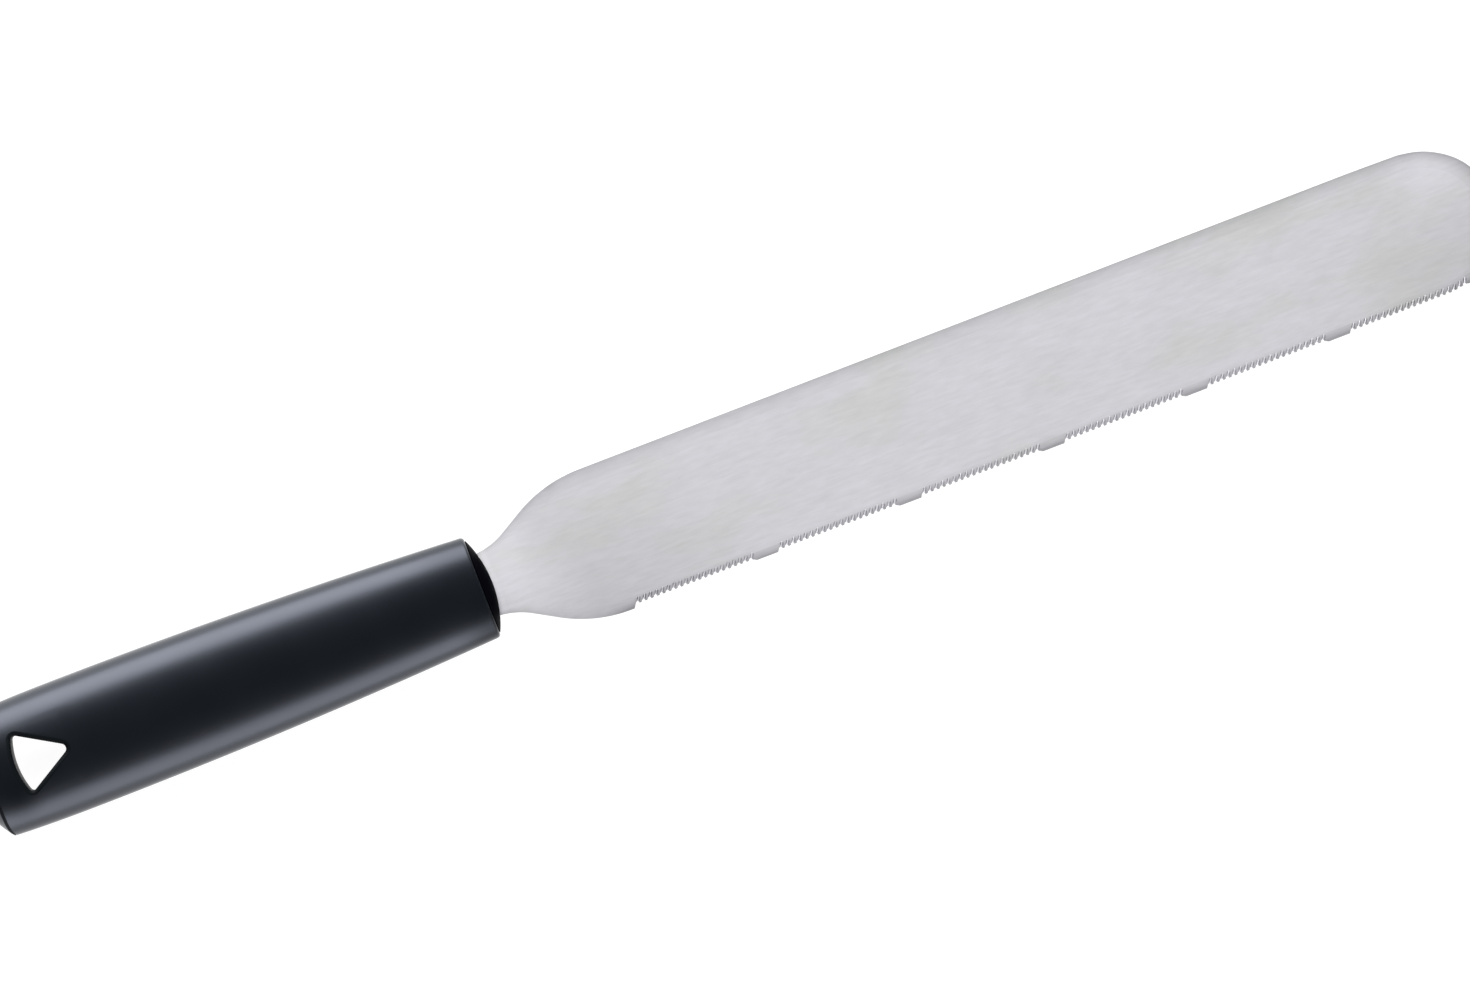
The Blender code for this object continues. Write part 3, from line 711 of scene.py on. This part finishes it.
# The rings of the sleeve, from the floor of its hollow out to the front end, and back over the outside.
edge_turns = [math.pi / 2 * (1 - i / FRONT_EDGE_STEPS) for i in range(FRONT_EDGE_STEPS)]
front_edge = [
    (sleeve_front_x - FRONT_EDGE * (1 - math.sin(turn)), FRONT_EDGE * (1 - math.cos(turn)))
    for turn in edge_turns
]
front_stations = [
    sleeve_front_x - FRONT_EDGE + (patch_front_x - sleeve_front_x + FRONT_EDGE) * i / SLEEVE_STATIONS
    for i in range(SLEEVE_STATIONS)
]
patch_stations = [
    patch_front_x + (patch_back_x - patch_front_x) * i / (2 * PATCH_HALF_SIDES)
    for i in range(2 * PATCH_HALF_SIDES + 1)
]
butt_steps = [i / BUTT_STEPS for i in range(1, BUTT_STEPS + 1)]
butt_way = sleeve_butt_x + BUTT_EDGE - patch_back_x

sleeve = bmesh.new()
inside = [(patch_front_x, SLEEVE_WALL), (sleeve_front_x, SLEEVE_WALL)]
inside_rings = [oval_ring(sleeve, x, inset) for x, inset in inside + front_edge]
front_rings = [oval_ring(sleeve, x, 0.0) for x in front_stations]
patch_rings = [oval_ring(sleeve, x, 0.0) for x in patch_stations]
back_rings = [
    oval_ring(sleeve, patch_back_x + butt_way * share, 0.0, BUTT_BOW * share) for share in butt_steps
]
socket_rings = [
    oval_ring(sleeve, sleeve_butt_x, BUTT_EDGE, BUTT_BOW),
    oval_ring(sleeve, sleeve_butt_x, SLEEVE_WALL, BUTT_BOW),
    oval_ring(sleeve, patch_back_x, SLEEVE_WALL),
]
sleeve.faces.new(inside_rings[0])
sleeve.faces.new(socket_rings[-1])
front_part = inside_rings + front_rings + patch_rings[:1]
butt_part = patch_rings[-1:] + back_rings + socket_rings
for part in (front_part, butt_part):
    for ring, other in zip(part, part[1:]):
        bridge(sleeve, ring, other)

# Along the hole the sides of the oval at the top and at the bottom are left open for a patch on each face,
# whose rings go from that opening in to the rim, round the rim and into the hole.
hole_top_sides = range(OVAL_SIDES // 4 - PATCH_HALF_SIDES, OVAL_SIDES // 4 + PATCH_HALF_SIDES)
open_sides = set(hole_top_sides) | {side + OVAL_SIDES // 2 for side in hole_top_sides}
for ring, other in zip(patch_rings, patch_rings[1:]):
    for i in range(OVAL_SIDES):
        if i not in open_sides:
            j = (i + 1) % OVAL_SIDES
            sleeve.faces.new((ring[i], ring[j], other[j], other[i]))
first_side, last_side = hole_top_sides[0], hole_top_sides[-1] + 1
last_row = len(patch_stations) - 1
border_places = [(0, side) for side in range(first_side, last_side)]
border_places += [(row, last_side) for row in range(last_row)]
border_places += [(last_row, side) for side in range(last_side, first_side, -1)]
border_places += [(row, first_side) for row in range(last_row, 0, -1)]
tunnel_rims = []
rim_faces = []
for face in (1, -1):
    border = [patch_rings[row][face * side % OVAL_SIDES] for row, side in border_places]
    outer = border
    for step in range(1, PATCH_STEPS + RIM_STEPS + 1):
        into_rim = max(0.0, (step - PATCH_STEPS) / RIM_STEPS) * math.pi / 2
        share = min(1.0, step / PATCH_STEPS) ** PATCH_SPACING
        ring = []
        for vert in border:
            angle = math.atan2(vert.co.y, vert.co.x - hole_middle_x)
            border_reach = math.hypot(vert.co.x - hole_middle_x, vert.co.y)
            reach = hole_reach(angle, HOLE_RIM * (1 - math.sin(into_rim)))
            reach = border_reach + (reach - border_reach) * share
            x = hole_middle_x + reach * math.cos(angle)
            y = reach * math.sin(angle)
            height = handle_height(x, y) - HOLE_RIM * (1 - math.cos(into_rim))
            ring.append(sleeve.verts.new((x, y, handle_mid_z + face * height)))
        band = bridge(sleeve, outer, ring)
        if into_rim:
            rim_faces += band
        outer = ring
    tunnel_rims.append(outer)
rim_faces += bridge(sleeve, *tunnel_rims)
# The rim and the walls of the hole take the duller copy of the plastic, as painted shade.
for face in rim_faces:
    face.material_index = RIM_SHADE_FINISH
handle = closed_mesh("handle_sleeve", sleeve)

# Black moulded polypropylene: bluish black, satin, with the faint fine texture of a spark-eroded mould, which
# breaks up the two long highlights a little.
SLEEVE_BLACK = "#0a0f14"
SLEEVE_BLACK_WORN = "#0e1318"
SLEEVE_SHEEN = "#e6ecff"
SLEEVE_ROUGHNESS = 0.34
SLEEVE_ROUGHNESS_SPREAD = 0.03
TEXTURE_GRAIN = 0.0006  # coarser than the real texture of about 0.1 mm, so that it shows
TEXTURE_HEIGHT = 0.00003
SLEEVE_BUMP = 0.12
HANDLING_SPOT = 0.012  # patches polished by the hand
PLAIN_SPECULAR = 0.5
PAINTED_SHADE_GLOSS_SPOTS = {  # painted shade on the highlights, the gloss taken down where the hand lies: the place, the reach and the share of the gloss left
    "forefinger": ((sleeve_front_x, -0.0097, handle_mid_z + 0.0047), 0.012, 0.4),
    "thumb": ((sleeve_front_x, 0.0092, handle_mid_z + 0.0052), 0.022, 0.8),
    "palm": ((sleeve_butt_x + 0.005, -0.0072, handle_mid_z + 0.0081), 0.0075, 0.5),
}


def mould_texture(tree, place, strength):
    """The fine bumps that a spark-eroded mould leaves on a plastic."""
    texture = add_node(tree, "ShaderNodeTexNoise", {
        "Vector": place, "Scale": 1 / TEXTURE_GRAIN, "Detail": PLASTIC_DETAIL,
    }).outputs["Fac"]
    return add_node(tree, "ShaderNodeBump", {
        "Height": texture, "Strength": strength, "Distance": TEXTURE_HEIGHT,
    }).outputs["Normal"]


sleeve_plastic, tree, place = new_material("satin_black_moulded_polypropylene")
handling = add_node(tree, "ShaderNodeTexNoise", {
    "Vector": place, "Scale": 1 / HANDLING_SPOT, "Detail": PLASTIC_DETAIL,
}).outputs["Fac"]
sleeve_colour = add_node(tree, "ShaderNodeMix", {
    "Factor": handling, "A": linear(SLEEVE_BLACK), "B": linear(SLEEVE_BLACK_WORN),
}, data_type="RGBA").outputs["Result"]
sleeve_roughness = add_node(tree, "ShaderNodeMapRange", {
    "Value": handling,
    "To Min": SLEEVE_ROUGHNESS - SLEEVE_ROUGHNESS_SPREAD,
    "To Max": SLEEVE_ROUGHNESS + SLEEVE_ROUGHNESS_SPREAD,
}).outputs["Result"]
texture_bump = mould_texture(tree, place, SLEEVE_BUMP)
sleeve_specular = PLAIN_SPECULAR
# Painted shade: the gloss is turned down round three spots, which dims the highlights there.
for spot, reach, gloss in PAINTED_SHADE_GLOSS_SPOTS.values():
    away = add_node(tree, "ShaderNodeVectorMath", {0: place, 1: spot}, operation="DISTANCE").outputs["Value"]
    gloss_left = add_node(tree, "ShaderNodeMapRange", {
        "Value": away, "From Max": reach, "To Min": gloss, "To Max": 1.0,
    }, interpolation_type="SMOOTHSTEP").outputs["Result"]
    sleeve_specular = add_node(tree, "ShaderNodeMath", {
        0: gloss_left, 1: sleeve_specular,
    }, operation="MULTIPLY").outputs["Value"]
sleeve_shader = add_node(tree, "ShaderNodeBsdfPrincipled", {
    "Base Color": sleeve_colour, "Roughness": sleeve_roughness, "IOR": POLYPROPYLENE_IOR,
    "Specular IOR Level": sleeve_specular, "Specular Tint": linear(SLEEVE_SHEEN), "Normal": texture_bump,
}).outputs["BSDF"]
add_node(tree, "ShaderNodeOutputMaterial", {"Surface": sleeve_shader})

# Shaded black polypropylene: the rim and the walls of the hole, and the gap at the butt, are the same plastic
# drawn duller and blacker than the sleeve beside them, as painted shade.
RIM_SHADE_BLACK = "#0a0e12"
RIM_SHADE_BLACK_FLOW = "#0d1216"
RIM_SHADE_SPECULAR = 0.1
MATT_ROUGHNESS = 0.6
MATT_ROUGHNESS_SPREAD = 0.04
MATT_BUMP = 0.1


def matt_plastic(name, black, flow_black, specular):
    """Matt black moulded polypropylene, faintly uneven where it flowed, with almost no highlight."""
    material, tree, place = new_material(name)
    flow = add_node(tree, "ShaderNodeTexNoise", {
        "Vector": place, "Scale": 1 / FLOW_WIDTH, "Detail": PLASTIC_DETAIL,
    }).outputs["Fac"]
    colour = add_node(tree, "ShaderNodeMix", {
        "Factor": flow, "A": linear(black), "B": linear(flow_black),
    }, data_type="RGBA").outputs["Result"]
    roughness = add_node(tree, "ShaderNodeMapRange", {
        "Value": flow,
        "To Min": MATT_ROUGHNESS - MATT_ROUGHNESS_SPREAD,
        "To Max": MATT_ROUGHNESS + MATT_ROUGHNESS_SPREAD,
    }).outputs["Result"]
    bump = mould_texture(tree, place, MATT_BUMP)
    shader = add_node(tree, "ShaderNodeBsdfPrincipled", {
        "Base Color": colour, "Roughness": roughness, "IOR": POLYPROPYLENE_IOR,
        "Specular IOR Level": specular, "Normal": bump,
    }).outputs["BSDF"]
    add_node(tree, "ShaderNodeOutputMaterial", {"Surface": shader})
    return material


rim_shade_plastic = matt_plastic("shaded_black_moulded_polypropylene", RIM_SHADE_BLACK, RIM_SHADE_BLACK_FLOW, RIM_SHADE_SPECULAR)
handle.data.materials.append(sleeve_plastic)
handle.data.materials.append(rim_shade_plastic)
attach(handle, "root")
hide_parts("handle_shell")


# Front cap: the domed black front of the handle, moulded in polypropylene, with a spigot that presses into
# the sleeve and a slot that the neck of the blade comes out of.

front_low, front_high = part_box("front_cap")
FRONT_SEAM = 0.00008
FRONT_RIM = 0.00022
FRONT_INSET = 0.001  # how far the rim of the cap lies inside the widest place of the front end
CAP_EDGE = 0.0002
COLLAR_CLEARANCE = 0.00002
SEAM_DEPTH = 0.00015
SEAM_BANDS = 4  # the bands of a cap from its spigot to the outside of its seam, which are in the dark
SPIGOT_CLEARANCE = 0.0003
SLOT_CLEARANCE = 0.0002
DOME_STEPS = 16
slot_reach = front_high.x - sleeve_front_x
slot_half_width = NECK_HALF_WIDTH + NECK_RADIUS - math.sqrt(NECK_RADIUS**2 - slot_reach**2) + SLOT_CLEARANCE
slot_half_height = (blade_high.z - blade_low.z) / 2 + SLOT_CLEARANCE
slot_middle_x = (front_low.x + front_high.x) / 2


def cap_mesh(name, end_x, seam, rim, apex_x, spigot_x, widest, bow, closing, seam_finish):
    """A domed cap on one end of the sleeve: spigot, collar, seam, straight rim with a small edge, dome.

    The seam narrows by the closing at its two sides.
    """
    mesh = bmesh.new()
    way = math.copysign(1.0, apex_x - end_x)
    collar_x = end_x + way * COLLAR_CLEARANCE
    seat_x = end_x + way * seam
    rim_x = seat_x + way * rim
    rise = abs(apex_x - rim_x)
    edge_width = widest - CAP_EDGE
    sphere = (edge_width**2 + rise**2) / (2 * rise)
    spigot_inset = SLEEVE_WALL + SPIGOT_CLEARANCE
    rim_bow = bow - way * closing
    rings = [
        oval_ring(mesh, spigot_x, spigot_inset),
        oval_ring(mesh, collar_x, spigot_inset, bow, widest),
        oval_ring(mesh, collar_x, SEAM_DEPTH, bow, widest),
        oval_ring(mesh, seat_x, SEAM_DEPTH, rim_bow, widest),
        oval_ring(mesh, seat_x, CAP_EDGE / 2, rim_bow, widest),
        oval_ring(mesh, seat_x + way * CAP_EDGE / 2, 0.0, rim_bow, widest),
        oval_ring(mesh, rim_x - way * CAP_EDGE / 2, 0.0, rim_bow, widest),
    ]
    widest_angle = math.asin(edge_width / sphere)
    for i in range(DOME_STEPS):
        share = 1 - i / DOME_STEPS
        angle = widest_angle * share
        x = apex_x - way * sphere * (1 - math.cos(angle))
        rings.append(oval_ring(mesh, x, 0.0, rim_bow * share**2, sphere * math.sin(angle)))
    for number, (ring, other) in enumerate(zip(rings, rings[1:])):
        for face in bridge(mesh, ring, other):
            face.material_index = seam_finish if number < SEAM_BANDS else PLAIN_FINISH
    mesh.faces.new(rings[0])
    apex = mesh.verts.new((apex_x, 0.0, handle_mid_z))
    last = rings[-1]
    for i in range(OVAL_SIDES):
        mesh.faces.new((last[i], last[(i + 1) % OVAL_SIDES], apex))
    return closed_mesh(name, mesh)


front_cap = cap_mesh(
    "front_cap_dome", sleeve_front_x, FRONT_SEAM, FRONT_RIM, front_high.x, front_low.x,
    widest=FRONT_HALF_WIDTH - FRONT_INSET, bow=0.0, closing=0.0, seam_finish=PLAIN_FINISH,
)
slot_size = (front_high.x - front_low.x, slot_half_width, slot_half_height)
slot_mesh = bmesh.new()
bmesh.ops.create_cube(slot_mesh, size=2.0)
bmesh.ops.scale(slot_mesh, vec=slot_size, verts=slot_mesh.verts)
bmesh.ops.translate(slot_mesh, vec=(slot_middle_x, 0.0, handle_mid_z), verts=slot_mesh.verts)
slot = closed_mesh("neck_slot", slot_mesh)
slotting = front_cap.modifiers.new("Neck slot", "BOOLEAN")
slotting.object = slot
make_plain(front_cap, slotting)
bpy.data.objects.remove(slot)
front_cap.data.set_sharp_from_angle(angle=SHARP_ANGLE)

# Matt black polypropylene: a purer black than the sleeve's, with almost no highlight, also in the seam.
CAP_BLACK = "#020206"
CAP_BLACK_FLOW = "#030308"
CAP_SPECULAR = 0.015

cap_plastic = matt_plastic("matt_black_moulded_polypropylene", CAP_BLACK, CAP_BLACK_FLOW, CAP_SPECULAR)
front_cap.data.materials.clear()
front_cap.data.materials.append(cap_plastic)
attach(front_cap, "root")
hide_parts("front_cap")


# End cap: the domed butt of the handle, moulded in the same polypropylene as the sleeve and pressed into its
# socket. A narrow gap between the two shows as a dark line.

end_low, end_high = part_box("end_cap")
END_SEAM = 0.0006
END_CLOSING = 0.0005
END_RIM = 0.00025
# The bands of its seam take the rim's duller plastic, as painted shade in the gap.
end_cap = cap_mesh(
    "end_cap_dome", sleeve_butt_x, END_SEAM, END_RIM, end_low.x, end_high.x,
    widest=half_width(sleeve_butt_x), bow=BUTT_BOW, closing=END_CLOSING, seam_finish=RIM_SHADE_FINISH,
)
end_cap.data.materials.append(sleeve_plastic)
end_cap.data.materials.append(rim_shade_plastic)
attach(end_cap, "root")
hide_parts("end_cap")


# Floor: a white studio table. The tool rests on the belly of its handle and on the tip of its blade, so the
# table is drawn at that small slope, and the tool stays level.

FLOOR_SIZE = 8.0
FLOOR_WHITE = "#e6e6e6"
FLOOR_SHADE = "#8a8a8a"  # how much of the shading the camera sees on the white
FLOOR_GLOW = 0.9
WHITE_FROM = 0.3  # further out than this the table fades to plain white
WHITE_AT = 0.8
EDGE_SIDE_PAINTED_LIGHT = 1.3  # painted light: how brightly the table glows in the reflections in the sides of the handle, brighter towards the spine
SPINE_SIDE_PAINTED_LIGHT = 1.8
PAINTED_LIGHT_REACH = 0.03
CONTACT_GAP = 0.0001
CONTACT_ROUNDS = 20
CONTACT_STEPS = 200

handle_xs = [
    sleeve_butt_x + (sleeve_front_x - sleeve_butt_x) * i / CONTACT_STEPS for i in range(CONTACT_STEPS + 1)
]
lean = 0.0
for _ in range(CONTACT_ROUNDS):
    touch_x = min(handle_xs, key=lambda x: handle_mid_z - handle_height(x, 0.0) - math.tan(lean) * x)
    touch_z = handle_mid_z - handle_height(touch_x, 0.0)
    lean = math.atan2(blade_low.z + BACK_DROP - touch_z, blade_high.x - touch_x)

floor_mesh = bmesh.new()
bmesh.ops.create_grid(floor_mesh, x_segments=1, y_segments=1, size=FLOOR_SIZE / 2)
floor_data = bpy.data.meshes.new("studio_floor")
floor_mesh.to_mesh(floor_data)
floor_mesh.free()
floor = bpy.data.objects.new("studio_floor", floor_data)
floor.rotation_euler.y = -lean
floor.location = (touch_x, 0.0, touch_z - CONTACT_GAP)
bpy.context.scene.collection.objects.link(floor)

# White table paint that also glows for the camera, so it stays white but for a faint shade under the tool; in
# reflections it glows brighter, as painted light.
floor_paint, tree, place = new_material("white_studio_table")
path = add_node(tree, "ShaderNodeLightPath", {}).outputs
seen = path["Is Camera Ray"]
for ray in ("Is Transmission Ray", "Is Glossy Ray"):
    seen = add_node(tree, "ShaderNodeMath", {0: seen, 1: path[ray]}, operation="MAXIMUM").outputs["Value"]
away = add_node(tree, "ShaderNodeVectorMath", {0: place}, operation="LENGTH").outputs["Value"]
table_glow = add_node(tree, "ShaderNodeMapRange", {
    "Value": away, "From Min": WHITE_FROM, "From Max": WHITE_AT, "To Min": FLOOR_GLOW, "To Max": 1.0,
}).outputs["Result"]
# Painted light: seen in reflections, the table glows brighter, more towards the spine.
place_y = add_node(tree, "ShaderNodeSeparateXYZ", {"Vector": place}).outputs["Y"]
painted_table_light = add_node(tree, "ShaderNodeMapRange", {
    "Value": place_y, "From Min": -PAINTED_LIGHT_REACH, "From Max": PAINTED_LIGHT_REACH,
    "To Min": EDGE_SIDE_PAINTED_LIGHT, "To Max": SPINE_SIDE_PAINTED_LIGHT,
}).outputs["Result"]
glow_strength = add_node(tree, "ShaderNodeMapRange", {
    "Value": path["Is Glossy Ray"], "To Min": table_glow, "To Max": painted_table_light,
}).outputs["Result"]
paint = add_node(tree, "ShaderNodeBsdfDiffuse", {"Color": linear(FLOOR_WHITE)}).outputs["BSDF"]
shade = add_node(tree, "ShaderNodeBsdfDiffuse", {"Color": linear(FLOOR_SHADE)}).outputs["BSDF"]
glow = add_node(tree, "ShaderNodeEmission", {"Strength": glow_strength}).outputs["Emission"]
lit = add_node(tree, "ShaderNodeAddShader", {0: shade, 1: glow}).outputs["Shader"]
white = add_node(tree, "ShaderNodeMixShader", {"Fac": seen, 1: paint, 2: lit}).outputs["Shader"]
add_node(tree, "ShaderNodeOutputMaterial", {"Surface": white})
floor_data.materials.append(floor_paint)


# Light: two long softboxes low on either side, the one on the spine's side brighter, and a dim room above, so
# the handle has a highlight along each side and stays black between them.

SOFTBOX_LENGTH = 1.2
SOFTBOX_DISTANCE = 0.85
SOFTBOX_LIFT = 0.02  # from the level of the table to the lower edge of a softbox
SPINE_HEIGHT = 0.66
SPINE_RADIANCE = 9.4
EDGE_HEIGHT = 0.58
EDGE_RADIANCE = 5.0
ROOM_WHITE = "#ffffff"
ROOM_STRENGTH = 0.11  # the camera itself sees the room at full strength, as a white backdrop

for name, side, height, radiance in (
    ("spine_softbox", 1, SPINE_HEIGHT, SPINE_RADIANCE),
    ("edge_softbox", -1, EDGE_HEIGHT, EDGE_RADIANCE),
):
    lamp = bpy.data.lights.new(name, "AREA")
    lamp.shape = "RECTANGLE"
    lamp.size = SOFTBOX_LENGTH
    lamp.size_y = height
    lamp.energy = radiance * math.pi * SOFTBOX_LENGTH * height
    box = bpy.data.objects.new(name, lamp)
    box.location = (0.0, side * SOFTBOX_DISTANCE, height / 2 + SOFTBOX_LIFT)
    box.rotation_euler = (side * -math.pi / 2, 0.0, 0.0)
    bpy.context.scene.collection.objects.link(box)

room = bpy.data.worlds.new("studio_room")
room.use_nodes = True
tree = room.node_tree
tree.nodes.clear()
camera_ray = add_node(tree, "ShaderNodeLightPath", {}).outputs["Is Camera Ray"]
dim = add_node(tree, "ShaderNodeBackground", {
    "Color": linear(ROOM_WHITE), "Strength": ROOM_STRENGTH,
}).outputs["Background"]
bright = add_node(tree, "ShaderNodeBackground", {"Color": linear(ROOM_WHITE)}).outputs["Background"]
backdrop = add_node(tree, "ShaderNodeMixShader", {"Fac": camera_ray, 1: dim, 2: bright}).outputs["Shader"]
add_node(tree, "ShaderNodeOutputWorld", {"Surface": backdrop})
bpy.context.scene.world = room
bpy.context.scene.view_settings.view_transform = "Standard"


# Camera: straight down on the flat of the tool from well above, turned so that the blade points up to the
# right, with the tip and the butt just cut off by the frame.

VIEW_WIDTH = 0.343
VIEW_TURN = math.radians(21.04)
VIEW_CENTRE = (0.0008, -0.0002)
CAMERA_HEIGHT = 5.0
SENSOR_WIDTH = 36.0

camera_data = bpy.data.cameras.new("camera")
camera_data.sensor_width = SENSOR_WIDTH
camera_data.lens = SENSOR_WIDTH * CAMERA_HEIGHT / VIEW_WIDTH
camera = bpy.data.objects.new("camera", camera_data)
camera.location = (*VIEW_CENTRE, blade_high.z + CAMERA_HEIGHT)
camera.rotation_euler = (0.0, 0.0, -VIEW_TURN)
bpy.context.scene.collection.objects.link(camera)
bpy.context.scene.camera = camera
